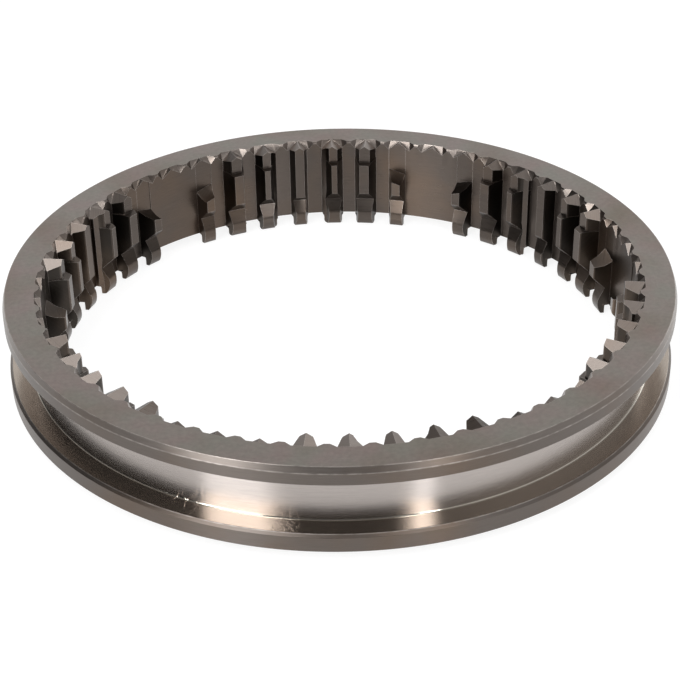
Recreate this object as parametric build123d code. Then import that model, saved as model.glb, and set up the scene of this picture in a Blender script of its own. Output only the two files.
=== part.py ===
from build123d import *
import math
import os

# Sliding sleeve of a gearbox synchronizer: one steel ring with a fork groove outside and
# spline teeth inside. Millimetres, +Z up, origin on the axis in the plane of the tooth feet.

# Ring body, from the feet up: overhang of the feet, lower flange, fork groove, upper flange
outer_radius = 85.0
ring_thickness = 9.5
foot_overhang = 2.6
lower_flange = 4.8
groove_width = 13.65
upper_flange = 4.65
groove_depth = 5.6
groove_corner_bevel = 0.4
groove_lip_bevel = 0.7
top_bevel_width = 0.55
top_bevel_height = 1.6
lower_bevel = 0.4
bore_edge_break = 0.5

# Spline layout: equal groups of teeth with a missing tooth between each two groups, and the
# place of a group's last tooth, which is cut back, counted from the group's middle tooth
group_count = 6
pitches_per_group = 8
cut_back_pitch = 3

# How far each stretch of a tooth stands in from the root of the spline
shank_rise = 5.05
head_rise = 3.4
plain_rise = 3.25
foot_rise = 3.3
foot_end_rise = 2.5
foot_outer_rise = 1.25
detent_floor_rise = 1.6

# Lengths along a tooth: head and step from its pointed end, the others from its foot
head_length = 5.0
step_length = 0.35
detent_top_height = 11.35
detent_floor_height = 8.0
foot_crest_height = 5.2
foot_bevel_height = 1.9
foot_corner_bevel = 0.65

# Tooth widths, each measured from the tooth's centre to one flank
base_half_width = 3.15
shank_half_width = 1.36
shank_relieved_half_width = 0.2
head_base_half_width = 3.0
head_half_width = 1.5
head_relieved_half_width = 0.85
plain_base_half_width = 2.55
plain_half_width = 1.3
cut_back_base_half_width = 2.95
cut_back_half_width = 1.1
cut_back_outer_base_half_width = 1.95
cut_back_outer_half_width = 1.25
crest_bevel_width = 0.25
crest_bevel_height = 0.45

# Pointed tips: a roof on every tooth, and a notch let into the face behind it with walls
# that lean in by the same run at its back and at its sides
roof_angle = 33.0
notch_reach = 1.6
notch_rim_half_width = 2.8
notch_land_half_width = 4.75
notch_depth = 2.2
notch_wall_run = 1.72
notch_inner_run = 0.9

# Slot milled from the face down each cut-back tooth, as wide as the tooth at its root: a flat
# wall, then a ramp and a shelf that both fall toward the missing tooth
slot_depth = 0.15
slot_length = 9.2
shelf_length = 10.35
shelf_crest_length = 10.6
shelf_rise = 2.3
slot_fall = 0.3

# How far teeth sink into the ring to join it, and how far cutters run out of the metal
joint_overlap = 1.5
cutter_overrun = 1.0
full_turn = 360.0
steel_colour = Color(0.5, 0.49, 0.47)

# Heights and radii that follow from the sizes above
lower_face_height = foot_overhang
lower_flange_top = lower_face_height + lower_flange
upper_flange_underside = lower_flange_top + groove_width
top_face_height = upper_flange_underside + upper_flange
groove_floor_radius = outer_radius - groove_depth
root_radius = outer_radius - ring_thickness
joint_radius = root_radius + joint_overlap
shank_crest_radius = root_radius - shank_rise
head_crest_radius = root_radius - head_rise
plain_crest_radius = root_radius - plain_rise
foot_crest_radius = root_radius - foot_rise
foot_end_radius = root_radius - foot_end_rise
foot_outer_radius = root_radius - foot_outer_rise
detent_floor_radius = root_radius - detent_floor_rise
head_foot_height = top_face_height - head_length
shank_top_height = head_foot_height - step_length
slot_radius = root_radius + slot_depth
shelf_radius = root_radius - shelf_rise
pitch_angle = full_turn / (group_count * pitches_per_group)


def section_face(points):
    """Flat closed face in a plane through the ring axis, from radius and height pairs."""
    return make_face(Plane.XZ * Polyline(points, close=True))


def ring_body():
    """Turned blank: two flanges, the fork groove between them and the root bore."""
    blank = section_face([
        (root_radius, lower_face_height),
        (outer_radius - lower_bevel, lower_face_height),
        (outer_radius, lower_face_height + lower_bevel),
        (outer_radius, top_face_height - top_bevel_height),
        (outer_radius - top_bevel_width, top_face_height),
        (root_radius + bore_edge_break, top_face_height),
        (root_radius, top_face_height - bore_edge_break),
    ])
    return revolve(blank, Axis.Z) - fork_groove()


def fork_groove():
    """Cutter for the fork groove: bevelled floor corners and a bevelled lower lip."""
    lip_radius = outer_radius - groove_lip_bevel
    lip_height = lower_flange_top - groove_lip_bevel
    outside_radius = outer_radius + cutter_overrun
    corner_radius = groove_floor_radius + groove_corner_bevel
    return revolve(section_face([
        (groove_floor_radius, lower_flange_top + groove_corner_bevel),
        (corner_radius, lower_flange_top),
        (lip_radius, lower_flange_top),
        (outer_radius, lip_height),
        (outside_radius, lip_height),
        (outside_radius, upper_flange_underside),
        (corner_radius, upper_flange_underside),
        (groove_floor_radius, upper_flange_underside - groove_corner_bevel),
    ]), Axis.Z)


def tooth_section(crest_radius, left_flank, right_flank):
    """Flat section of a tooth on +Y that points at the axis, with bevelled crest corners.

    A flank is its half width at the crest and its half width at the root."""
    bevel_radius = crest_radius + crest_bevel_height

    def side(flank, direction):
        crest_half, base_half = flank
        bevel_half = crest_half + crest_bevel_width
        slope = (base_half - bevel_half) / (root_radius - bevel_radius)
        joint_half = base_half + slope * joint_overlap
        return [
            (direction * crest_half, crest_radius),
            (direction * bevel_half, bevel_radius),
            (direction * joint_half, joint_radius),
        ]

    left_side = side(left_flank, -1)
    right_side = side(right_flank, 1)
    return make_face(Polyline(left_side[::-1] + right_side, close=True))


def foot_points(crest_radius):
    """Foot and detent groove of a tooth, from the outside of the foot up to the crest."""
    wall_slope = (detent_top_height - detent_floor_height) / (detent_floor_rise - shank_rise)
    wall_top_height = detent_top_height + wall_slope * (crest_radius - shank_crest_radius)
    return [
        (joint_radius, lower_face_height),
        (foot_outer_radius, lower_face_height),
        (foot_outer_radius, 0),
        (foot_end_radius, 0),
        (foot_crest_radius, foot_bevel_height),
        (foot_crest_radius, foot_crest_height),
        (detent_floor_radius, detent_floor_height),
        (crest_radius, wall_top_height),
    ]


def turned_tooth(bars, points):
    """Bars of tooth section trimmed to the profile that turning the bore leaves."""
    return bars & revolve(section_face(points), Axis.Z)


def bevelled_foot(left_shank, right_shank):
    """Bar along +Y that holds a full tooth and takes off the two lower corners of its foot."""
    joint_share = (foot_outer_radius - shank_crest_radius) / shank_rise
    left_half, right_half = [
        crest_half + joint_share * (base_half - crest_half)
        for crest_half, base_half in (left_shank, right_shank)
    ]
    outline = section_face([
        (-left_half + foot_corner_bevel, 0),
        (right_half - foot_corner_bevel, 0),
        (right_half, foot_corner_bevel),
        (joint_radius, foot_corner_bevel),
        (joint_radius, top_face_height),
        (-joint_radius, top_face_height),
        (-joint_radius, foot_corner_bevel),
        (-left_half, foot_corner_bevel),
    ])
    return extrude(outline, joint_radius + cutter_overrun, dir=(0, 1, 0))


def stepped_tooth(left_shank, right_shank, left_head, right_head):
    """Full tooth: low head at the pointed end, high shank below it, detent groove, foot."""
    shank_section = tooth_section(shank_crest_radius, left_shank, right_shank)
    head_section = tooth_section(head_crest_radius, left_head, right_head)
    bars = extrude(shank_section, head_foot_height) + extrude(head_section, top_face_height)
    bars &= bevelled_foot(left_shank, right_shank)
    return turned_tooth(bars, foot_points(shank_crest_radius) + [
        (shank_crest_radius, shank_top_height),
        (head_crest_radius, head_foot_height),
        (head_crest_radius, top_face_height),
        (joint_radius, top_face_height),
    ])


def plain_tooth():
    """Middle tooth of a group: one low crest from tip to foot."""
    flank = (plain_half_width, plain_base_half_width)
    section = tooth_section(plain_crest_radius, flank, flank)
    return turned_tooth(extrude(section, top_face_height), foot_points(plain_crest_radius) + [
        (plain_crest_radius, top_face_height),
        (joint_radius, top_face_height),
    ])


def cut_back_tooth():
    """Tooth on the right of a group, beside the missing one, before its slot is milled."""
    inner_flank = (cut_back_half_width, cut_back_base_half_width)
    outer_flank = (cut_back_outer_half_width, cut_back_outer_base_half_width)
    section = tooth_section(shank_crest_radius, inner_flank, outer_flank)
    bar = extrude(section, shank_top_height)
    return turned_tooth(bar, foot_points(shank_crest_radius) + [
        (shank_crest_radius, shank_top_height),
        (joint_radius, shank_top_height),
    ])


def group_teeth():
    """The teeth of one group by pitch number, counted clockwise from the middle tooth."""
    shank = (shank_half_width, base_half_width)
    relieved_shank = (shank_relieved_half_width, base_half_width)
    head = (head_half_width, head_base_half_width)
    relieved_head = (head_relieved_half_width, head_base_half_width)
    inner = stepped_tooth(relieved_shank, shank, relieved_head, head)
    outer = stepped_tooth(shank, shank, head, head)
    cut_back = cut_back_tooth()
    return {
        -cut_back_pitch: mirror(cut_back, Plane.YZ),
        -2: outer,
        -1: mirror(inner, Plane.YZ),
        0: plain_tooth(),
        1: inner,
        2: outer,
        cut_back_pitch: cut_back,
    }


def notch_outline(lean):
    """Flat outline of a tip notch on +Y where its walls have leaned in by the given run."""
    side_slope = (notch_land_half_width - notch_rim_half_width) / notch_reach
    root_half = notch_land_half_width - lean
    reach = notch_reach - lean
    rim_half = root_half - side_slope * reach
    inner_half = root_half + side_slope * notch_inner_run
    inner_radius = shank_crest_radius - cutter_overrun
    return make_face(Polyline([
        (-inner_half, inner_radius),
        (inner_half, inner_radius),
        (inner_half, root_radius - notch_inner_run),
        (rim_half, root_radius + reach),
        (-rim_half, root_radius + reach),
        (-inner_half, root_radius - notch_inner_run),
    ], close=True))


def tip_notch():
    """Cutter that leaves a roof-shaped tooth tip with its ridge flush with the face."""
    rim = notch_outline(0)
    pocket = loft([Pos(0, 0, -notch_depth) * notch_outline(notch_wall_run), rim], ruled=True)
    pocket += extrude(rim, cutter_overrun)
    eaves_half = notch_land_half_width + cutter_overrun
    eaves_drop = eaves_half * math.tan(math.radians(roof_angle))
    gable = section_face([
        (0, 0),
        (eaves_half, -eaves_drop),
        (eaves_half, -eaves_drop - notch_depth),
        (-eaves_half, -eaves_drop - notch_depth),
        (-eaves_half, -eaves_drop),
    ])
    roof = extrude(gable, joint_radius + cutter_overrun, dir=(0, 1, 0))
    return Pos(0, 0, top_face_height) * (pocket - roof)


def slot_section(offset):
    """Section of a slot on +Y at an offset from its tooth's centre, its group on the left."""
    fall = offset * slot_fall
    inner_radius = shank_crest_radius - cutter_overrun
    crest_height = top_face_height - shelf_crest_length - fall
    shelf_height = top_face_height - shelf_length - fall
    inner_height = crest_height - (shelf_height - crest_height) * cutter_overrun / (
        shelf_radius - shank_crest_radius)
    outline = Polyline([
        (offset, inner_radius, inner_height),
        (offset, shelf_radius, shelf_height),
        (offset, slot_radius, top_face_height - slot_length - fall),
        (offset, slot_radius, top_face_height + cutter_overrun),
        (offset, inner_radius, top_face_height + cutter_overrun),
    ], close=True)
    return make_face(outline)


def slot():
    """Cutter for the slot down the cut-back tooth on the right of a group, on +Y."""
    left_end = slot_section(-cut_back_base_half_width)
    right_end = slot_section(cut_back_outer_base_half_width)
    return loft([left_end, right_end], ruled=True)


def around(shape, count, start=0.0):
    """Copies of a shape spread evenly round the ring axis."""
    return [Rot(0, 0, start + index * full_turn / count) * shape for index in range(count)]


def build_sleeve():
    """Blank and teeth made into one solid, then its slots and the notches at the tips."""
    slot_angle = cut_back_pitch * pitch_angle
    slots = around(slot(), group_count, -slot_angle)
    slots += around(mirror(slot(), Plane.YZ), group_count, slot_angle)
    teeth = []
    for pitch, tooth in group_teeth().items():
        teeth += around(tooth, group_count, -pitch * pitch_angle)
    notches = around(tip_notch(), group_count * pitches_per_group)
    return ring_body().fuse(*teeth).cut(*slots).cut(*notches).clean()


sliding_sleeve = build_sleeve()
sliding_sleeve.label = "sliding_sleeve"
sliding_sleeve.color = steel_colour

os.makedirs("parts", exist_ok=True)
export_step(sliding_sleeve, "parts/sliding_sleeve.step")
print("sliding_sleeve:", len(sliding_sleeve.solids()), "solid,", round(sliding_sleeve.volume), "mm3")
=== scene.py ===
import bpy
import bmesh
import math
from mathutils import Matrix, Vector


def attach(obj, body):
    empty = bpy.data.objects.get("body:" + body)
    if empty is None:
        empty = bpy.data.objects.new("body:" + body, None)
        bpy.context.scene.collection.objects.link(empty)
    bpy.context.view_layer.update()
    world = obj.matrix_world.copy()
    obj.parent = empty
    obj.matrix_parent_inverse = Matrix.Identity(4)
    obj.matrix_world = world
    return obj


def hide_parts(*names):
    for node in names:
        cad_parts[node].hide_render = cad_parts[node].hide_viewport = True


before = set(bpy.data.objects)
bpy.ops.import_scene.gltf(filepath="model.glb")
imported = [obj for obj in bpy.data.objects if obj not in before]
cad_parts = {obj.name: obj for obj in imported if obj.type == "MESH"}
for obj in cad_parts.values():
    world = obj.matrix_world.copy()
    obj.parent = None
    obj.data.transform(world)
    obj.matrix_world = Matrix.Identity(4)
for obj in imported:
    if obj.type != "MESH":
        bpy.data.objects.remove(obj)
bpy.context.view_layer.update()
print("frame loaded")

millimetresPerMetre = 1000

# Camera: millimetres for the lens, metres for the distances, degrees for the turns
viewValues = {
    "lens": 90.80,
    "sensor": 36.0,
    "distance": 0.44299,
    "lookDown": 32.089,
    "roll": -0.901,
    "turn": -8.76,
    "aimHeight": 0.01433,
    "aimRight": -0.00002,
    "aimUp": 0.00822,
    "clipStart": 0.01,
}


def addCamera(values):
    pitch = math.radians(values["lookDown"])
    roll = math.radians(values["roll"])
    forward = Vector((0, math.cos(pitch), -math.sin(pitch)))
    right = Vector((1, 0, 0))
    up = Vector((0, math.sin(pitch), math.cos(pitch)))
    rolledRight = math.cos(roll) * right + math.sin(roll) * up
    rolledUp = math.cos(roll) * up - math.sin(roll) * right
    place = -(values["aimRight"] * rolledRight + values["aimUp"] * rolledUp
              + values["distance"] * forward)
    place.z += values["aimHeight"]
    axes = Matrix((rolledRight, rolledUp, -forward)).transposed().to_4x4()
    turn = Matrix.Rotation(math.radians(values["turn"]), 4, "Z")
    data = bpy.data.cameras.new("photoCamera")
    data.lens = values["lens"]
    data.sensor_width = values["sensor"]
    data.clip_start = values["clipStart"]
    camera = bpy.data.objects.new("photoCamera", data)
    camera.matrix_world = turn @ Matrix.Translation(place) @ axes
    bpy.context.scene.collection.objects.link(camera)
    bpy.context.scene.camera = camera


addCamera(viewValues)
print("camera set")

# Sleeve: sizes in millimetres, heights from the feet, radii from the axis
sleeveValues = {
    "groups": 6,
    "pitchAngle": 7.5,           # degrees from tooth to tooth
    "middleAngle": 90.0,         # where the first group's middle tooth stands
    "faceHeight": 25.7,
    "underside": 2.6,
    "boreRadius": 75.5,
    "flankSteps": 5,             # from the middle of the crest to the flank's root
    "columnSteps": 9,            # from the middle of the crest to the middle of the land
    "arcSteps": 4,
    "sameDigits": 4,             # points that agree to this many digits are one point
    "weldDistance": 2e-6,        # metres
    "sharpAngle": 28.0,
}

# Outer outline from the face round to the underside: radius, height, rounding of the corner
outlineValues = [
    (78.3, 25.7, 0.0),
    (84.45, 25.7, 0.1),
    (85.0, 24.1, 0.1),
    (85.0, 21.05, 0.18),
    (79.4, 21.05, 0.55),
    (79.4, 7.4, 0.32),
    (84.3, 7.4, 0.2),
    (85.0, 6.7, 0.25),
    (85.0, 3.0, 0.12),
    (84.6, 2.6, 0.12),
    (77.6, 2.6, 0.0),
]

# Pointed tips: the roof, and the notch behind it with its rim and valley
tipValues = {
    "roofSlope": 0.6494,
    "notchBack": 77.1,
    "shares": (0, 0.3, 0.4, 0.5, 0.6, 0.75, 0.85, 1),
    "rimHalf": 2.8,
    "valleyHalf": 3.15,
    "valleyRun": 0.5077,
    "rimEnd": (4.28, 76.0),
    "wallFoot": (4.51, 25.2),
    "wallDip": 0.10,             # how far the walls are hollowed
    "wallDipLean": 0.5,
    "wallDipDepth": 0.6,         # a notch shallower than this is hollowed less
}

# Steps along a tooth and the rounded outline of its foot, front first and then its side
toothValues = {
    "headRadius": 72.1,
    "shankRadius": 70.45,
    "plainRadius": 72.25,
    "headFoot": 20.7,
    "shankTop": 20.35,
    "leastStep": 0.01,           # keeps the slope finite where head and shank are level
    "crestBevel": (0.25, 0.45),  # width and depth
    "crestShare": 0.6,           # second stop of a row that lies behind the crest's bevel
    "detentFloor": (73.9, 8.0),
    "detentSlope": 0.971,
    "detentEdge": [(0.4, 0.0), (-0.08, 0.05), (-0.42, 0.3)],
    "detentDrop": 0.5,
    "footOuter": 74.25,
    "footTop": [(72.42, 4.78), (72.2, 4.05)],
    "footJoin": (72.2, 3.35),
    "footFront": [(72.2, 3.0), (72.25, 2.5), (72.45, 1.7), (72.8, 0.9), (73.15, 0.3),
                  (73.5, 0.0)],
    "footSide": [(0.3, 2.6), (0.1, 2.35), (0.0, 1.7), (0.0, 0.65), (-0.19, 0.19), (-0.65, 0.0)],
    "plainSide": [(0.15, 2.6), (0.05, 2.4), (0.0, 1.7), (0.0, 0.3), (-0.08, 0.08), (-0.3, 0.0)],
    "shoulder": [(1.8, 73.65), (2.95, 74.5)],
    "flankStops": (73.65, 74.5),
    "landStops": (3.3, 4.2),
    "landHeights": (20.7, 20.7, 20.35, 11.75, 11.27, 10.93, 8.0, 4.78, 4.05, 2.6),
}

# Run-out of a cut-back tooth: its slot's wall, ramp, crease and crest
runOutValues = {
    "wall": 75.65,
    "rampTop": 16.5,
    "creaseRadius": 73.2,
    "crease": 15.35,
    "crest": 15.1,
    "flankFoot": 14.6,
    "fall": 0.3,                 # sideways, per millimetre from the middle
}

# Half widths of a flank at its crest and at its root, for the shank and for the head
flankValues = {
    "full": {"crest": 1.36, "root": 3.15, "headCrest": 1.5, "headRoot": 3.0},
    "eased": {"crest": 0.2, "root": 3.15, "headCrest": 0.85, "headRoot": 3.0},
    "plain": {"crest": 1.3, "root": 2.55, "headCrest": 1.3, "headRoot": 2.55},
    "groupSide": {"crest": 1.1, "root": 2.95},
    "gapSide": {"crest": 1.25, "root": 1.95},
    "missing": {"crest": 1.2, "root": 2.9},
}

# Kind of flank on the left and on the right of each tooth of a group, counted clockwise
toothFlanks = {
    -3: ("gapSide", "groupSide"),
    -2: ("full", "full"),
    -1: ("full", "eased"),
    0: ("plain", "plain"),
    1: ("eased", "full"),
    2: ("full", "full"),
    3: ("groupSide", "gapSide"),
    4: ("missing", "missing"),
}

# Limits that tell a face's finish and which upright flanks get painted shade: stops of its row,
# radii, heights, and how upright a flank is
zoneValues = {
    "flankColumns": (3, 6),
    "shoulderColumn": 4,
    "flankRadius": 75.45,
    "flankUpright": 0.35,
    "topDepth": 0.02,
    "grooveRadii": (79.3, 84.4),
    "grooveHeights": (7.39, 21.06),
    "flangeRadius": 78.0,
}


# The outline with its corners rounded, as radii and heights
def roundedOutline(corners, steps):
    points = []
    for index, (radius, height, rounding) in enumerate(corners):
        corner = Vector((radius, height))
        if not rounding:
            points.append(corner)
            continue
        back = (Vector(corners[index - 1][:2]) - corner).normalized()
        ahead = (Vector(corners[index + 1][:2]) - corner).normalized()
        reach = rounding / math.tan(back.angle(ahead) / 2)
        start = corner + back * reach
        end = corner + ahead * reach
        for step in range(steps + 1):
            share = step / steps
            points.append(start * (1 - share) ** 2 + corner * 2 * share * (1 - share)
                          + end * share ** 2)
    return [(point.x, point.y) for point in points]


def landHalf(radius):
    return radius * math.sin(math.radians(sleeveValues["pitchAngle"] / 2))


def roofHeight(half):
    return sleeveValues["faceHeight"] - tipValues["roofSlope"] * half


# Cross-section of a flank from its crest to its root, as half widths and radii
def flankSection(crestRadius, crestHalf, rootHalf, shoulder):
    bevelWidth, bevelDepth = toothValues["crestBevel"]
    section = [(crestHalf, crestRadius), (crestHalf + bevelWidth, crestRadius + bevelDepth)]
    if shoulder:
        section += toothValues["shoulder"]
    return section + [(rootHalf, sleeveValues["boreRadius"])]


# Half width of a flank at a radius
def halfAt(section, radius):
    for (half, inner), (nextHalf, outer) in zip(section, section[1:]):
        if radius <= outer:
            return half + (nextHalf - half) * max(0, radius - inner) / (outer - inner)
    return section[-1][0]


# The last four stops of a row: flank's edge on the bore, two on the land, middle of the land
def landStops(edgeHalf, height):
    bore = sleeveValues["boreRadius"]
    first, second = toothValues["landStops"]
    return [(edgeHalf, bore, height), (first, bore, height), (second, bore, height),
            (landHalf(bore), bore, height)]


# The stops of a flank in a row: half width, radius and height
def flankRow(section, front, heightAt):
    radii = [front, front]
    for radius in (section[1][1], *toothValues["flankStops"]):
        radii.append(max(radius, front))
    radii.append(sleeveValues["boreRadius"])
    row = []
    for stop, radius in enumerate(radii):
        half = halfAt(section, radius)
        if stop == 0:
            half = 0
        elif stop == 1 and front > section[1][1]:
            half *= toothValues["crestShare"]
        row.append((half, radius, heightAt(radius)))
    return row


# One row across a tooth: its front, its flank out to the bore, and the land beside it
def crossRow(section, front, heightAt):
    row = flankRow(section, front, heightAt)
    return row + landStops(section[-1][0], row[-1][2])


# Even stops at one radius and height, out to a half width
def evenRow(half, radius, height):
    steps = sleeveValues["flankSteps"]
    return [(half * step / steps, radius, height) for step in range(steps + 1)]


# Rows of the tip, seen from the rim of the notch down to the crest: half width, radius, height
def tipRows(section, slotWall):
    bore = sleeveValues["boreRadius"]
    face = sleeveValues["faceHeight"]
    back = tipValues["notchBack"]
    endHalf, endRadius = tipValues["rimEnd"]
    rim = []
    valley = []
    for share in tipValues["shares"]:
        half = tipValues["rimHalf"] * share
        rim.append((half, math.hypot(half, back), face))
        half = tipValues["valleyHalf"] * share
        reach = back - tipValues["valleyRun"] * half
        valley.append((half, math.hypot(half, reach), roofHeight(half)))
    rim += [(endHalf, endRadius, face), (landHalf(endRadius), endRadius, face)]
    footHalf, footHeight = tipValues["wallFoot"]
    wallFoot = [(footHalf, bore, footHeight), (landHalf(bore), bore, footHeight)]
    eaves = [(half, slotWall or radius, roofHeight(half))
             for half, radius, height in flankRow(section, section[0][1], lambda radius: 0)]
    eaves += [(eaves[-1][0], bore, eaves[-1][2]), valley[-1]]
    valley += wallFoot
    wall = []
    for (half, radius, height), (nextHalf, nextRadius, nextHeight) in zip(rim, valley):
        dip = tipValues["wallDip"] * min(1, (face - nextHeight) / tipValues["wallDipDepth"])
        wall.append(((half + nextHalf) / 2,
                     (radius + nextRadius) / 2 + dip * tipValues["wallDipLean"],
                     (height + nextHeight) / 2 - dip))
    wall[-1] = (landHalf(wall[-1][1]), *wall[-1][1:])
    return [rim, wall, valley, eaves + wallFoot]


# Rows across a full or plain tooth from its head down to its detent groove
def shankRows(section, head):
    headFoot = toothValues["headFoot"]
    shankTop = toothValues["shankTop"]
    floorRadius, floorHeight = toothValues["detentFloor"]
    slope = toothValues["detentSlope"]
    crestRadius = section[0][1]
    headRadius = head[0][1]
    drop = (headFoot - shankTop) / max(headRadius - crestRadius, toothValues["leastStep"])
    rows = [crossRow(head, headRadius, lambda radius: headFoot),
            crossRow(section, headRadius, lambda radius: headFoot),
            crossRow(section, crestRadius,
                     lambda radius: min(headFoot, shankTop + drop * (radius - crestRadius)))]
    for rise, inset in toothValues["detentEdge"]:
        front = crestRadius + inset
        level = floorHeight + slope * (floorRadius - crestRadius) + rise
        rows.append(crossRow(section, front, lambda radius: max(
            min(level, floorHeight + slope * (floorRadius - radius)),
            level - toothValues["detentDrop"])))
    rows.append(crossRow(section, floorRadius, lambda radius: floorHeight))
    return rows


# Rows across a cut-back tooth from the top of its ramp to its detent groove
def runOutRows(section, side):
    fall = runOutValues["fall"] * side
    wall, top = runOutValues["wall"], runOutValues["rampTop"]
    creaseRadius, crease = runOutValues["creaseRadius"], runOutValues["crease"]
    crest, flankFoot = runOutValues["crest"], runOutValues["flankFoot"]
    crestRadius, rootHalf = section[0][1], section[-1][0]
    bore = sleeveValues["boreRadius"]
    rampSlope = (top - crease) / (wall - creaseRadius)
    shelfSlope = (flankFoot - crest) / (bore - crestRadius)

    def sloping(front, heightAt):
        return [(half, radius, height - fall * half)
                for half, radius, height in flankRow(section, front, heightAt)]

    ramp = [(half, wall, height) for half, radius, height
            in sloping(crestRadius, lambda radius: top)]
    edge = sloping(creaseRadius, lambda radius: crease + rampSlope * (radius - creaseRadius))
    shelf = sloping(crestRadius, lambda radius: crest + shelfSlope * (radius - crestRadius))
    rows = [row + landStops(rootHalf, height) for row, height
            in ((ramp, edge[-1][2]), (edge, edge[-1][2]), (shelf, shelf[-1][2]))]
    return rows + shankRows(section, section)[-4:]


# Rows round the foot: its front, its bottom and its outer face, with no land beside them
def footRows(section, sides):
    outer = toothValues["footOuter"]
    underside = sleeveValues["underside"]
    outerHalf = halfAt(section, outer)
    joinRadius, joinHeight = toothValues["footJoin"]
    noLand = [None] * len(landStops(0, 0))
    fall = (joinHeight - underside) / (sleeveValues["boreRadius"] - joinRadius)
    rows = [crossRow(section, radius, lambda radius: height)
            for radius, height in toothValues["footTop"]]
    rows.append(crossRow(section, joinRadius,
                         lambda radius: joinHeight - fall * (radius - joinRadius)))
    for (front, height), (spread, sideHeight) in zip(toothValues["footFront"], sides):
        row = []
        for half, radius, oldHeight in flankRow(section, front, lambda radius: height):
            radius = min(radius, outer)
            share = (radius - front) / (outer - front)
            row.append((min(half, outerHalf + spread), radius,
                        height + (sideHeight - height) * share))
        row[-2:] = [(outerHalf + spread, outer, sideHeight)] * 2
        rows.append(row + noLand)
    rows += [evenRow(outerHalf + spread, outer, height) + noLand
             for spread, height in reversed(sides)]
    return rows


# All rows of one side of a tooth, from the rim of its notch down to the underside
def sideRows(kind, side):
    flank = flankValues[kind]
    root = flank["root"]
    underside = sleeveValues["underside"]
    bore = sleeveValues["boreRadius"]
    landHeights = toothValues["landHeights"]
    footSides = toothValues["plainSide"]
    crestRadius = toothValues["plainRadius"] if kind == "plain" else toothValues["shankRadius"]
    section = flankSection(crestRadius, flank["crest"], root, kind == "eased")
    if kind == "missing":
        tip = tipRows(section, bore)
        halves = [half for half, radius, height
                  in flankRow(section, crestRadius, lambda radius: 0)]
        middle = [[(half, bore, height) for half in halves] + landStops(root, height)
                  for height in landHeights]
        middle += [[None] * len(middle[0])] * (len(footSides) * 2)
    elif kind in ("groupSide", "gapSide"):
        tip = tipRows(section, runOutValues["wall"])
        middle = runOutRows(section, side) + footRows(section, footSides)
    elif kind == "plain":
        tip = tipRows(section, None)
        middle = shankRows(section, section) + footRows(section, footSides)
    else:
        head = flankSection(toothValues["headRadius"], flank["headCrest"], flank["headRoot"],
                            kind == "eased")
        tip = tipRows(head, None)
        middle = shankRows(section, head) + footRows(section, toothValues["footSide"])
    last = evenRow(root, bore, underside) + landStops(root, underside)
    if kind == "missing":
        last = middle[len(landHeights) - 1]
    for row, height in zip(middle, landHeights):    # lands meet the next pitch at shared heights
        row[-2:] = [(half, bore, height) for half, radius, oldHeight in row[-2:]]
    return tip + middle + [last]


# Columns of points round one group, with the kind of flank and the stop that each comes from
def groupColumns():
    outline = roundedOutline(outlineValues, sleeveValues["arcSteps"])
    steps = sleeveValues["columnSteps"]
    halfPitch = math.radians(sleeveValues["pitchAngle"] / 2)
    columns = []
    for pitch, kinds in toothFlanks.items():
        centre = math.radians(sleeveValues["middleAngle"] - pitch * sleeveValues["pitchAngle"])
        gapSign = 1 if pitch > 0 else -1
        for turn, kind in zip((-1, 1), kinds):
            rows = sideRows(kind, 1 if turn == gapSign else -1)
            stops = range(steps, -1, -1) if turn < 0 else range(1, steps + 1)
            for stop in stops:
                column = []
                for row in rows:
                    point = row[stop]
                    if point:
                        half, radius, height = point
                        angle = centre - turn * math.asin(half / radius)
                        point = (radius * math.cos(angle), radius * math.sin(angle), height)
                    column.append(point)
                angle = centre - turn * halfPitch * stop / steps
                column += [(radius * math.cos(angle), radius * math.sin(angle), height)
                           for radius, height in reversed(outline)]
                columns.append((kind, stop, column))
    return columns


# The last of these is painted shade: a darker colour for the upright flanks
finishNames = ("Tooth Finish", "Face Finish", "Flange Finish", "Groove Finish", "Flank Painted Shade")


# Number of the finish that a face gets, in the order of their names
def faceZone(corners, kind, stop):
    limits = zoneValues
    radii = [math.hypot(x, y) * millimetresPerMetre for x, y, z in corners]
    heights = [z * millimetresPerMetre for x, y, z in corners]
    middle = sum(radii) / len(radii)
    level = sum(heights) / len(heights)
    nearest, farthest = limits["flankColumns"]
    onShoulder = kind == "eased" and stop == limits["shoulderColumn"]
    # Upright flank faces get the darker colour of painted shade
    if nearest <= stop <= farthest and middle < limits["flankRadius"] and not onShoulder:
        first, second, third = (Vector(corner) for corner in corners[:3])
        lean = abs((second - first).cross(third - first).normalized().z)
        if lean < limits["flankUpright"]:
            return finishNames.index("Flank Painted Shade")
    if min(heights) > sleeveValues["faceHeight"] - limits["topDepth"]:
        return finishNames.index("Face Finish")
    inner, outer = limits["grooveRadii"]
    low, high = limits["grooveHeights"]
    if inner < middle < outer and low < level < high:
        return finishNames.index("Groove Finish")
    return finishNames.index("Flange Finish" if middle > limits["flangeRadius"] else "Tooth Finish")


# One group of eight pitches as a wedge, open at its two sides
def buildGroupMesh():
    columns = groupColumns()
    numbers = {}
    vertices = []

    def number(point):
        key = tuple(round(value, sleeveValues["sameDigits"]) for value in point)
        if key not in numbers:
            numbers[key] = len(vertices)
            vertices.append(tuple(value / millimetresPerMetre for value in point))
        return numbers[key]

    faces = []
    zones = []
    rowCount = len(columns[0][2])
    for (leftKind, leftStop, left), (rightKind, rightStop, right) in zip(columns, columns[1:]):
        kind = leftKind if leftStop > rightStop else rightKind
        for row in range(rowCount):
            following = (row + 1) % rowCount
            corners = (left[row], right[row], right[following], left[following])
            if None in corners:
                continue
            face = []
            for corner in corners:
                index = number(corner)
                if index not in face:
                    face.append(index)
            if len(face) > 2:
                faces.append(face)
                zones.append(faceZone([vertices[index] for index in face], kind,
                                      max(leftStop, rightStop)))
    mesh = bpy.data.meshes.new("toothGroup")
    mesh.from_pydata(vertices, [], faces)
    mesh.attributes.new("zone", "INT", "FACE").data.foreach_set("value", zones)
    return mesh


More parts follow.
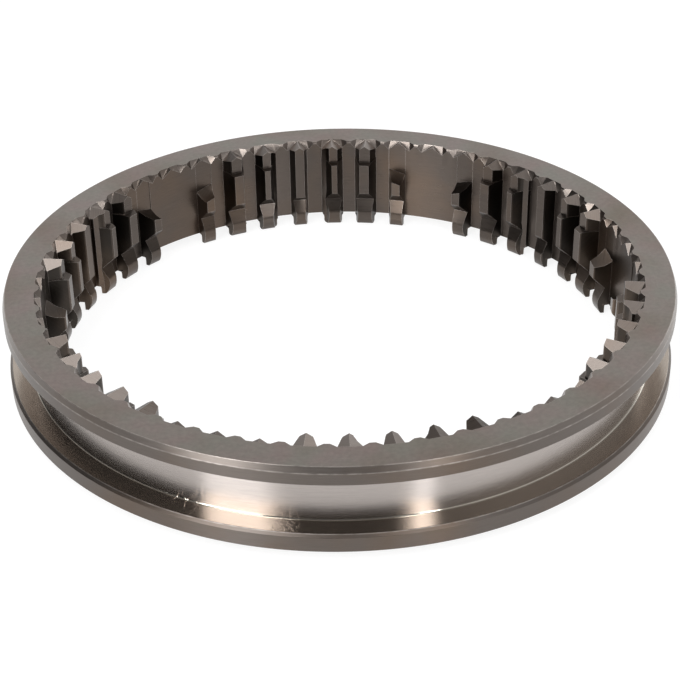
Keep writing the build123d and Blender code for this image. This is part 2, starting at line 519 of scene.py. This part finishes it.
# Geometry nodes that set the wedge round the axis, weld it and give each zone its finish
def ringTree():
    tree = bpy.data.node_groups.new("ringOfGroups", "GeometryNodeTree")
    sockets = [("Geometry", "Geometry"), ("Tooth Group", "Object"), ("Groups", "Int"),
               ("Weld Distance", "Float"), *((name, "Material") for name in finishNames)]
    for name, kind in sockets:
        tree.interface.new_socket(name, in_out="INPUT", socket_type="NodeSocket" + kind)
    tree.interface.new_socket("Geometry", in_out="OUTPUT", socket_type="NodeSocketGeometry")
    nodes = tree.nodes
    link = tree.links.new
    start = nodes.new("NodeGroupInput")
    end = nodes.new("NodeGroupOutput")
    source = nodes.new("GeometryNodeObjectInfo")
    points = nodes.new("GeometryNodePoints")
    index = nodes.new("GeometryNodeInputIndex")
    share = nodes.new("ShaderNodeMath")
    share.operation = "DIVIDE"
    turn = nodes.new("ShaderNodeMath")
    turn.operation = "MULTIPLY"
    turn.inputs[1].default_value = math.tau
    spin = nodes.new("ShaderNodeCombineXYZ")
    place = nodes.new("GeometryNodeInstanceOnPoints")
    realize = nodes.new("GeometryNodeRealizeInstances")
    weld = nodes.new("GeometryNodeMergeByDistance")
    zone = nodes.new("GeometryNodeInputNamedAttribute")
    zone.data_type = "INT"
    zone.inputs["Name"].default_value = "zone"
    link(start.outputs["Tooth Group"], source.inputs["Object"])
    link(start.outputs["Groups"], points.inputs["Count"])
    link(index.outputs[0], share.inputs[0])
    link(start.outputs["Groups"], share.inputs[1])
    link(share.outputs[0], turn.inputs[0])
    link(turn.outputs[0], spin.inputs["Z"])
    link(points.outputs[0], place.inputs["Points"])
    link(source.outputs["Geometry"], place.inputs["Instance"])
    link(spin.outputs[0], place.inputs["Rotation"])
    link(place.outputs[0], realize.inputs[0])
    link(realize.outputs[0], weld.inputs["Geometry"])
    link(start.outputs["Weld Distance"], weld.inputs["Distance"])
    shape = weld.outputs[0]
    for number, name in enumerate(finishNames):
        chosen = nodes.new("FunctionNodeCompare")
        chosen.data_type = "INT"
        chosen.operation = "EQUAL"
        link(zone.outputs["Attribute"], chosen.inputs[2])
        chosen.inputs[3].default_value = number
        finish = nodes.new("GeometryNodeSetMaterial")
        link(shape, finish.inputs["Geometry"])
        link(chosen.outputs[0], finish.inputs["Selection"])
        link(start.outputs[name], finish.inputs["Material"])
        shape = finish.outputs[0]
    link(shape, end.inputs[0])
    return tree


# The whole ring as a plain mesh, its edges sharp where faces turn sharply
def buildSleeve(finishes):
    group = bpy.data.objects.new("toothGroup", buildGroupMesh())
    bpy.context.scene.collection.objects.link(group)
    host = bpy.data.objects.new("sleeveHost", bpy.data.meshes.new("sleeveHost"))
    bpy.context.scene.collection.objects.link(host)
    modifier = host.modifiers.new("ringOfGroups", "NODES")
    modifier.node_group = ringTree()
    inputs = {
        "Tooth Group": group,
        "Groups": sleeveValues["groups"],
        "Weld Distance": sleeveValues["weldDistance"],
        **dict(zip(finishNames, finishes)),
    }
    for item in modifier.node_group.interface.items_tree:
        if item.name in inputs:
            modifier[item.identifier] = inputs[item.name]
    evaluated = host.evaluated_get(bpy.context.evaluated_depsgraph_get())
    mesh = bpy.data.meshes.new_from_object(evaluated)
    host.modifiers.remove(modifier)
    bpy.data.objects.remove(host)
    bpy.data.objects.remove(group)
    work = bmesh.new()
    work.from_mesh(mesh)
    bmesh.ops.recalc_face_normals(work, faces=work.faces)
    openEdges = sum(1 for edge in work.edges if not edge.is_manifold)
    work.to_mesh(mesh)
    work.free()
    mesh.name = "steelSleeve"
    mesh.shade_smooth()
    mesh.set_sharp_from_angle(angle=math.radians(sleeveValues["sharpAngle"]))
    sleeve = bpy.data.objects.new("steelSleeve", mesh)
    bpy.context.scene.collection.objects.link(sleeve)
    weighted = sleeve.modifiers.new("weightedNormals", "WEIGHTED_NORMAL")
    weighted.keep_sharp = True
    print("sleeve made:", len(mesh.vertices), "points,", len(mesh.polygons), "faces,",
          openEdges, "open edges")
    return sleeve


# Finishes: reflectance (linear) and roughness, and how strong turning marks and streaks are
steelValues = {
    "broachedTeeth": {
        "color": (0.086, 0.072, 0.063, 1),
        "roughness": 0.30,
        "anisotropy": 0.0,
        "streaks": 0.10,
    },
    "groundFace": {
        "color": (0.219, 0.193, 0.175, 1),
        "roughness": 0.34,
        "anisotropy": 0.3,
        "streaks": 0.05,
    },
    "turnedFlange": {
        "color": (0.127, 0.110, 0.099, 1),
        "roughness": 0.40,
        "anisotropy": 0.5,
        "streaks": 0.08,
    },
    "polishedGroove": {
        "color": (0.400, 0.364, 0.342, 1),
        "roughness": 0.20,
        "anisotropy": 1.0,
        "streaks": 0.10,
    },
    # Painted shade: the upright flanks are the same broached steel, given a darker colour
    "shadedToothFlank": {
        "color": (0.046, 0.040, 0.035, 1),
        "roughness": 0.33,
        "anisotropy": 0.0,
        "streaks": 0.15,
    },
}

# Marks that machining and wear leave, and painted light: lighter tips and highlights on edges, rims
# and the groove's fillet; radii, heights and lines in millimetres of the ring
markValues = {
    "anisotropyTurn": 0.25,      # in whole turns
    "roughnessSpread": 0.1,
    # Painted light: a lighter colour on the leaning faces near the tips
    "paintedTipLight": (0.176, 0.152, 0.137, 1),
    "tipHeights": (21.5, 22.8),
    "tipLean": (0.15, 0.35),
    "bevelColor": (0.180, 0.158, 0.143, 1),
    "bevelShine": 0.85,
    "bevelRadius": 84.42,
    "bevelHeight": 24.12,
    "tintColor": (0.140, 0.092, 0.060, 1),
    "tintAmount": 0.50,
    "tintScale": 42.0,
    "tintDetail": 3.0,
    "tintRange": (0.45, 0.75),
    "greenCast": (0.955, 1.018, 0.985, 1),
    "pinkCast": (1.050, 0.982, 1.000, 1),
    "castScale": 110.0,
    "castDetail": 4.0,
    "castRange": (0.35, 0.65),
    "speckScale": 900.0,
    "speckSpread": 0.07,
    "alongScale": 30.0,          # how fast turning marks change round the ring
    "acrossScale": 10.0,         # and across it, per millimetre
    "streakScale": 0.6,
    "streakDetail": 4.0,
    "streakRoughness": 0.6,
    "streakRange": (0.3, 0.7),
    # Painted highlight: the bright colour given to edges and flange rims
    "edgeHighlightColor": (0.480, 0.440, 0.410, 1),
    "edgeRadius": 0.00013,       # metres
    "edgeSamples": 6,
    "edgeLikeness": (0.995, 0.93),
    "edgeHighlightAmount": 0.65,
    # Painted highlights along these rims
    "highlightRims": [(84.45, 25.7), (85.0, 24.1), (84.3, 7.4)],    # radius and height
    "lineHalf": 0.22,
    "lineAmount": 0.65,
    "lineGrainScale": 420.0,
    "lineGrainDetail": 3.0,
    "lineGrainRange": (0.35, 0.60),
    "lineGrainLeast": 0.25,
    # Painted highlight: bright colour on the groove's lower fillet, where the upper flange blocks
    # the light it would reflect
    "filletHighlightColor": (0.640, 0.610, 0.550, 1),
    "filletRadius": 79.74,
    "lowerSide": (1.000, 0.960, 0.880, 1),
    "lowerShine": 0.62,
    "lowerHeight": 7.73,
    "lowerBlend": 0.01,
    "scratchDepth": 0.00003,     # metres
    "scratchScale": 480.0,
    "scratchWidth": 0.07,
    "scratchBendScale": 90.0,
    "scratchBend": 0.012,
    "scratchPatches": [(-127.5, 7.5), (-107.5, 6.0)],    # azimuth and half width, degrees
}


def newGroup(name, inputs, outputs):
    group = bpy.data.node_groups.new(name, "ShaderNodeTree")
    for socketName, kind, value in inputs:
        socket = group.interface.new_socket(socketName, in_out="INPUT", socket_type=kind)
        socket.default_value = value
    for socketName, kind in outputs:
        group.interface.new_socket(socketName, in_out="OUTPUT", socket_type=kind)
    return group, group.nodes.new("NodeGroupInput"), group.nodes.new("NodeGroupOutput")


# Sets the sockets to plain values, or links what other nodes give
def feed(tree, sockets, values):
    for socket, value in zip(sockets, values):
        if isinstance(value, bpy.types.NodeSocket):
            tree.links.new(value, socket)
        elif value is not None:
            socket.default_value = value


def mathNode(tree, operation, first, second=None):
    node = tree.nodes.new("ShaderNodeMath")
    node.operation = operation
    feed(tree, node.inputs, (first, second))
    return node.outputs[0]


def vectorNode(tree, operation, first, second=None):
    node = tree.nodes.new("ShaderNodeVectorMath")
    node.operation = operation
    feed(tree, node.inputs, (first, second))
    return node.outputs["Value" if operation in ("DOT_PRODUCT", "LENGTH") else "Vector"]


def mapRange(tree, value, low, high, start=0.0, end=1.0, smooth=False):
    node = tree.nodes.new("ShaderNodeMapRange")
    if smooth:
        node.interpolation_type = "SMOOTHSTEP"
    names = ("Value", "From Min", "From Max", "To Min", "To Max")
    feed(tree, [node.inputs[name] for name in names], (value, low, high, start, end))
    return node.outputs[0]


def noiseNode(tree, vector, scale, detail=2.0, roughness=0.5):
    node = tree.nodes.new("ShaderNodeTexNoise")
    feed(tree, [node.inputs[name] for name in ("Vector", "Scale", "Detail", "Roughness")],
         (vector, scale, detail, roughness))
    return node.outputs[0]


def mixColor(tree, factor, first, second, blend="MIX"):
    node = tree.nodes.new("ShaderNodeMix")
    node.data_type = "RGBA"
    node.blend_type = blend
    feed(tree, (node.inputs[0], node.inputs[6], node.inputs[7]), (factor, first, second))
    return node.outputs[2]


# Radius and height on the ring in millimetres, and coordinates that stretch along turning marks
def ringCoordinates(marks):
    group, start, end = newGroup("ringCoordinates", [
        ("Along", "NodeSocketFloat", marks["alongScale"]),
        ("Across", "NodeSocketFloat", marks["acrossScale"])], [
        ("Radius", "NodeSocketFloat"), ("Height", "NodeSocketFloat"),
        ("Turning", "NodeSocketVector")])
    position = group.nodes.new("ShaderNodeTexCoord").outputs["Object"]
    split = group.nodes.new("ShaderNodeSeparateXYZ")
    group.links.new(position, split.inputs[0])
    flat = group.nodes.new("ShaderNodeCombineXYZ")
    group.links.new(split.outputs[0], flat.inputs[0])
    group.links.new(split.outputs[1], flat.inputs[1])
    radius = mathNode(group, "MULTIPLY", vectorNode(group, "LENGTH", flat.outputs[0]),
                      millimetresPerMetre)
    height = mathNode(group, "MULTIPLY", split.outputs[2], millimetresPerMetre)
    along = group.nodes.new("ShaderNodeVectorMath")
    along.operation = "SCALE"
    group.links.new(vectorNode(group, "NORMALIZE", flat.outputs[0]), along.inputs[0])
    group.links.new(start.outputs["Along"], along.inputs["Scale"])
    across = group.nodes.new("ShaderNodeCombineXYZ")
    group.links.new(mathNode(group, "SUBTRACT",
                             mathNode(group, "MULTIPLY", radius, start.outputs["Across"]),
                             mathNode(group, "MULTIPLY", height, start.outputs["Across"])),
                    across.inputs[2])
    turning = vectorNode(group, "ADD", along.outputs[0], across.outputs[0])
    for name, value in (("Radius", radius), ("Height", height), ("Turning", turning)):
        group.links.new(value, end.inputs[name])
    return group


# Painted highlight along the edges: where a rounded normal leaves the true one
def edgeHighlight(marks):
    group, start, end = newGroup("edgeHighlight", [("Radius", "NodeSocketFloat", marks["edgeRadius"])],
                                 [("Mask", "NodeSocketFloat")])
    bevel = group.nodes.new("ShaderNodeBevel")
    bevel.samples = marks["edgeSamples"]
    group.links.new(start.outputs["Radius"], bevel.inputs["Radius"])
    geometry = group.nodes.new("ShaderNodeNewGeometry")
    likeness = vectorNode(group, "DOT_PRODUCT", bevel.outputs[0], geometry.outputs["Normal"])
    group.links.new(mapRange(group, likeness, *marks["edgeLikeness"]), end.inputs["Mask"])
    return group


# Fine curved scratches in a few patches
def scratches(marks):
    group, start, end = newGroup("scratches", [("Scale", "NodeSocketFloat", marks["scratchScale"])],
                                 [("Mask", "NodeSocketFloat")])
    position = group.nodes.new("ShaderNodeTexCoord").outputs["Object"]
    bend = group.nodes.new("ShaderNodeTexNoise")
    bend.inputs["Scale"].default_value = marks["scratchBendScale"]
    group.links.new(position, bend.inputs["Vector"])
    bent = group.nodes.new("ShaderNodeVectorMath")
    bent.operation = "MULTIPLY_ADD"
    feed(group, bent.inputs, (bend.outputs["Color"], (marks["scratchBend"],) * 3, position))
    cells = group.nodes.new("ShaderNodeTexVoronoi")
    cells.feature = "DISTANCE_TO_EDGE"
    group.links.new(bent.outputs[0], cells.inputs["Vector"])
    group.links.new(start.outputs["Scale"], cells.inputs["Scale"])
    thin = mapRange(group, cells.outputs["Distance"], 0.0, marks["scratchWidth"], 1.0, 0.0)
    outward = vectorNode(group, "NORMALIZE", position)
    patches = 0.0
    for azimuth, half in marks["scratchPatches"]:
        turn = math.radians(azimuth)
        nearness = vectorNode(group, "DOT_PRODUCT", outward, (math.cos(turn), math.sin(turn), 0))
        patch = mapRange(group, nearness, math.cos(math.radians(half)),
                         math.cos(math.radians(half / 2)))
        patches = mathNode(group, "MAXIMUM", patch, patches)
    group.links.new(mathNode(group, "MULTIPLY", thin, patches), end.inputs["Mask"])
    return group


def placeGroup(tree, group, **values):
    node = tree.nodes.new("ShaderNodeGroup")
    node.node_tree = group
    for name, value in values.items():
        node.inputs[name].default_value = value
    return node


# Full in the inner half of a line, fading to nothing at its rim
def lineMask(tree, value, middle, half):
    distance = mathNode(tree, "ABSOLUTE", mathNode(tree, "SUBTRACT", value, middle))
    return mapRange(tree, distance, half / 2, half, 1.0, 0.0)


# Painted light: the leaning faces near the top of the teeth, which get a lighter colour
def paintedTipLightMask(tree, height, marks):
    split = tree.nodes.new("ShaderNodeSeparateXYZ")
    tree.links.new(tree.nodes.new("ShaderNodeNewGeometry").outputs["Normal"], split.inputs[0])
    leaning = mapRange(tree, mathNode(tree, "ABSOLUTE", split.outputs[2]), *marks["tipLean"])
    return mathNode(tree, "MULTIPLY", leaning, mapRange(tree, height, *marks["tipHeights"]))


# The edge highlight, with painted highlights added along the rims of the flanges as broken bright
# lines
def rimHighlights(tree, highlight, radius, height, position, marks):
    grain = noiseNode(tree, position, marks["lineGrainScale"], marks["lineGrainDetail"])
    grain = mapRange(tree, grain, *marks["lineGrainRange"], marks["lineGrainLeast"])
    for rimRadius, rimHeight in marks["highlightRims"]:
        line = mathNode(tree, "MULTIPLY", lineMask(tree, radius, rimRadius, marks["lineHalf"]),
                        lineMask(tree, height, rimHeight, marks["lineHalf"]))
        line = mathNode(tree, "MULTIPLY", line, grain)
        line = mathNode(tree, "MULTIPLY", line, marks["lineAmount"])
        highlight = mathNode(tree, "MAXIMUM", highlight, line)
    return highlight


# One steel finish, with the marks, painted light and painted shade that its name calls for
def machinedSteel(name, values, marks, groups):
    material = bpy.data.materials.new(name)
    material.use_nodes = True
    tree = material.node_tree
    shader = tree.nodes["Principled BSDF"]
    shader.inputs["Metallic"].default_value = 1
    shader.inputs["Anisotropic"].default_value = values["anisotropy"]
    shader.inputs["Anisotropic Rotation"].default_value = marks["anisotropyTurn"]
    ring = placeGroup(tree, groups["ringCoordinates"], Along=marks["alongScale"],
                      Across=marks["acrossScale"])
    radius, height = ring.outputs["Radius"], ring.outputs["Height"]
    position = tree.nodes.new("ShaderNodeTexCoord").outputs["Object"]
    if values["anisotropy"]:
        around = vectorNode(tree, "CROSS_PRODUCT", (0, 0, 1), position)
        tree.links.new(vectorNode(tree, "NORMALIZE", around), shader.inputs["Tangent"])
    streaks = noiseNode(tree, ring.outputs["Turning"], marks["streakScale"],
                        marks["streakDetail"], marks["streakRoughness"])
    # Mask of the painted highlight along edges
    highlight = placeGroup(tree, groups["edgeHighlight"], Radius=marks["edgeRadius"]).outputs[0]

    color = values["color"]
    # Painted light on the leaning faces near the tips
    if name == "broachedTeeth":
        color = mixColor(tree, paintedTipLightMask(tree, height, marks), color, marks["paintedTipLight"])
    if name == "turnedFlange":
        onBevel = mathNode(tree, "MULTIPLY",
                           mathNode(tree, "GREATER_THAN", radius, marks["bevelRadius"]),
                           mathNode(tree, "GREATER_THAN", height, marks["bevelHeight"]))
        color = mixColor(tree, onBevel, color, marks["bevelColor"])
    if name != "polishedGroove":
        tint = noiseNode(tree, position, marks["tintScale"], marks["tintDetail"])
        tint = mapRange(tree, tint, *marks["tintRange"], 0.0, marks["tintAmount"])
        color = mixColor(tree, tint, color, marks["tintColor"])
    if name == "groundFace":
        cast = noiseNode(tree, position, marks["castScale"], marks["castDetail"])
        cast = mixColor(tree, mapRange(tree, cast, *marks["castRange"]),
                        marks["greenCast"], marks["pinkCast"])
        color = mixColor(tree, 1.0, color, cast, "MULTIPLY")
        specks = mapRange(tree, noiseNode(tree, position, marks["speckScale"]),
                          *marks["streakRange"], 1 - marks["speckSpread"], 1 + marks["speckSpread"])
        color = mixColor(tree, 1.0, color, specks, "MULTIPLY")
    shade = mapRange(tree, streaks, *marks["streakRange"],
                     1 - values["streaks"], 1 + values["streaks"])
    color = mixColor(tree, 1.0, color, shade, "MULTIPLY")
    # Painted highlights along the flange rims
    if name in ("groundFace", "turnedFlange"):
        highlight = rimHighlights(tree, highlight, radius, height, position, marks)
    # Painted highlight on edges and flange rims, mixed into the colour
    color = mixColor(tree, mathNode(tree, "MULTIPLY", highlight, marks["edgeHighlightAmount"]), color,
                     marks["edgeHighlightColor"])

    rough = mapRange(tree, streaks, *marks["streakRange"],
                     values["roughness"] * (1 - marks["roughnessSpread"]),
                     values["roughness"] * (1 + marks["roughnessSpread"]))
    if name == "turnedFlange":
        rough = mathNode(tree, "MULTIPLY", rough,
                         mapRange(tree, onBevel, 0, 1, 1.0, marks["bevelShine"]))
    if name == "polishedGroove":
        below = mathNode(tree, "LESS_THAN", height, marks["lowerHeight"])
        inside = mathNode(tree, "LESS_THAN", radius, marks["filletRadius"])
        flank = mathNode(tree, "MULTIPLY", below, mathNode(tree, "SUBTRACT", 1, inside))
        color = mixColor(tree, flank, color, marks["lowerSide"], "MULTIPLY")
        # Painted highlight on the groove's lower fillet
        color = mixColor(tree, mathNode(tree, "MULTIPLY", below, inside), color,
                         marks["filletHighlightColor"])
        rough = mathNode(tree, "MULTIPLY", rough, mapRange(
            tree, height, marks["lowerHeight"] - marks["lowerBlend"],
            marks["lowerHeight"] + marks["lowerBlend"], marks["lowerShine"], 1.0))
        scratched = placeGroup(tree, groups["scratches"], Scale=marks["scratchScale"])
        bump = tree.nodes.new("ShaderNodeBump")
        bump.inputs["Strength"].default_value = 1
        bump.inputs["Distance"].default_value = marks["scratchDepth"]
        tree.links.new(mathNode(tree, "MULTIPLY", scratched.outputs[0], below),
                       bump.inputs["Height"])
        tree.links.new(bump.outputs[0], shader.inputs["Normal"])
    tree.links.new(color, shader.inputs["Base Color"])
    tree.links.new(rough, shader.inputs["Roughness"])
    return material


markGroups = {
    "ringCoordinates": ringCoordinates(markValues),
    "edgeHighlight": edgeHighlight(markValues),
    "scratches": scratches(markValues),
}
finishes = [machinedSteel(name, values, markValues, markGroups)
            for name, values in steelValues.items()]
print("finishes made:", len(finishes))
sleeve = buildSleeve(finishes)
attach(sleeve, "root")
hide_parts("sliding_sleeve")

# Studio: metres; azimuths and elevations in degrees, azimuth from the camera's side, + to the right
studioValues = {
    "dark": 0.07,
    "rightGlow": (0.1, 0.8, 0.55),      # where it begins, where it is full, and what it adds
    "backGlow": (0.55, 0.82, 0.92),
    "ceilingGlow": (0.85, 0.98, 0.75),
    "upperGlow": (0.56, 0.70, 0.20),
    "floorReach": 3.0,
    "floorHeight": -0.0001,
    "floorBounce": 0.85,
    "floorDiffuse": 0.22,
    "floorGlow": 0.86,
    "floorGloss": 0.14,
    "floorRoughness": 0.12,
    "floorEdge": (0.26, 0.36),
    "floorFade": 0.85,
    "lampDistance": 1.2,
    "lamps": [                          # name, azimuth, elevation, width, height, radiance
        ("leftBox", -36.5, 30.0, 0.43, 1.20, 7.2),
        ("rightStrip", 27.6, 30.0, 0.13, 1.20, 8.0),
        ("leftTop", -90.0, 68.0, 0.45, 0.36, 4.0),
        ("rightTop", 90.0, 67.0, 0.45, 0.38, 3.1),
        ("rightBack", 130.0, 20.0, 0.36, 0.26, 2.4),
    ],
}


# Soft glows that only reflections and shading see; the camera sees white
def addRoom(values):
    scene = bpy.context.scene
    scene.view_settings.view_transform = "Standard"
    world = bpy.data.worlds.new("studio")
    scene.world = world
    world.use_nodes = True
    tree = world.node_tree
    background = tree.nodes["Background"]
    background.inputs["Color"].default_value = (1, 1, 1, 1)
    direction = tree.nodes.new("ShaderNodeTexCoord").outputs["Generated"]
    turn = math.radians(viewValues["turn"])
    right = vectorNode(tree, "DOT_PRODUCT", direction, (math.cos(turn), math.sin(turn), 0))
    away = vectorNode(tree, "DOT_PRODUCT", direction, (-math.sin(turn), math.cos(turn), 0))
    up = vectorNode(tree, "DOT_PRODUCT", direction, (0, 0, 1))
    level = values["dark"]
    glows = ((right, "rightGlow"), (away, "backGlow"), (up, "ceilingGlow"), (up, "upperGlow"))
    for toward, name in glows:
        begin, full, amount = values[name]
        level = mathNode(tree, "ADD", level,
                         mapRange(tree, toward, begin, full, 0.0, amount, smooth=True))
    seen = tree.nodes.new("ShaderNodeLightPath").outputs["Is Camera Ray"]
    tree.links.new(mathNode(tree, "MAXIMUM", level, seen), background.inputs["Strength"])


# Rectangular lamps round the ring, facing its middle
def addLamps(values):
    for name, azimuth, elevation, width, tall, radiance in values["lamps"]:
        data = bpy.data.lights.new(name, "AREA")
        data.shape = "RECTANGLE"
        data.size = width
        data.size_y = tall
        data.energy = radiance * math.pi * width * tall
        lamp = bpy.data.objects.new(name, data)
        turn = math.radians(azimuth - 90 + viewValues["turn"])
        rise = math.radians(elevation)
        outward = Vector((math.cos(turn) * math.cos(rise), math.sin(turn) * math.cos(rise),
                          math.sin(rise)))
        lamp.location = outward * values["lampDistance"]
        lamp.rotation_euler = outward.to_track_quat("Z", "Y").to_euler()
        bpy.context.scene.collection.objects.link(lamp)


# Pale floor: the camera and reflections see it glow, all other light a plain bright one
def addFloor(values):
    mesh = bpy.data.meshes.new("floor")
    reach, level = values["floorReach"], values["floorHeight"]
    corners = [(-reach, -reach, level), (reach, -reach, level), (reach, reach, level),
               (-reach, reach, level)]
    mesh.from_pydata(corners, [], [(0, 1, 2, 3)])
    floor = bpy.data.objects.new("floor", mesh)
    bpy.context.scene.collection.objects.link(floor)
    material = bpy.data.materials.new("paleFloor")
    material.use_nodes = True
    tree = material.node_tree
    tree.nodes.remove(tree.nodes["Principled BSDF"])
    plain = tree.nodes.new("ShaderNodeBsdfDiffuse")
    plain.inputs[0].default_value = (values["floorBounce"],) * 3 + (1,)
    faint = tree.nodes.new("ShaderNodeBsdfDiffuse")
    faint.inputs[0].default_value = (values["floorDiffuse"],) * 3 + (1,)
    path = tree.nodes.new("ShaderNodeLightPath").outputs
    distance = vectorNode(tree, "LENGTH", tree.nodes.new("ShaderNodeTexCoord").outputs["Object"])
    fade = mathNode(tree, "MULTIPLY", path["Is Glossy Ray"],
                    mapRange(tree, distance, *values["floorEdge"], 0, values["floorFade"]))
    glow = tree.nodes.new("ShaderNodeEmission")
    tree.links.new(mathNode(tree, "MULTIPLY", mathNode(tree, "SUBTRACT", 1, fade),
                            values["floorGlow"]), glow.inputs["Strength"])
    gloss = tree.nodes.new("ShaderNodeBsdfGlossy")
    gloss.inputs["Roughness"].default_value = values["floorRoughness"]
    tree.links.new(mathNode(tree, "MULTIPLY", path["Is Glossy Ray"], values["floorGloss"]),
                   gloss.inputs["Color"])
    shown = faint.outputs[0]
    for layer in (glow, gloss):
        joined = tree.nodes.new("ShaderNodeAddShader")
        feed(tree, joined.inputs, (shown, layer.outputs[0]))
        shown = joined.outputs[0]
    direct = mathNode(tree, "MAXIMUM", path["Is Camera Ray"], path["Is Glossy Ray"])
    direct = mathNode(tree, "MAXIMUM", direct, path["Is Transmission Ray"])
    mix = tree.nodes.new("ShaderNodeMixShader")
    feed(tree, mix.inputs, (direct, plain.outputs[0], shown))
    tree.links.new(mix.outputs[0], tree.nodes["Material Output"].inputs["Surface"])
    mesh.materials.append(material)


addRoom(studioValues)
addLamps(studioValues)
addFloor(studioValues)
print("studio set")
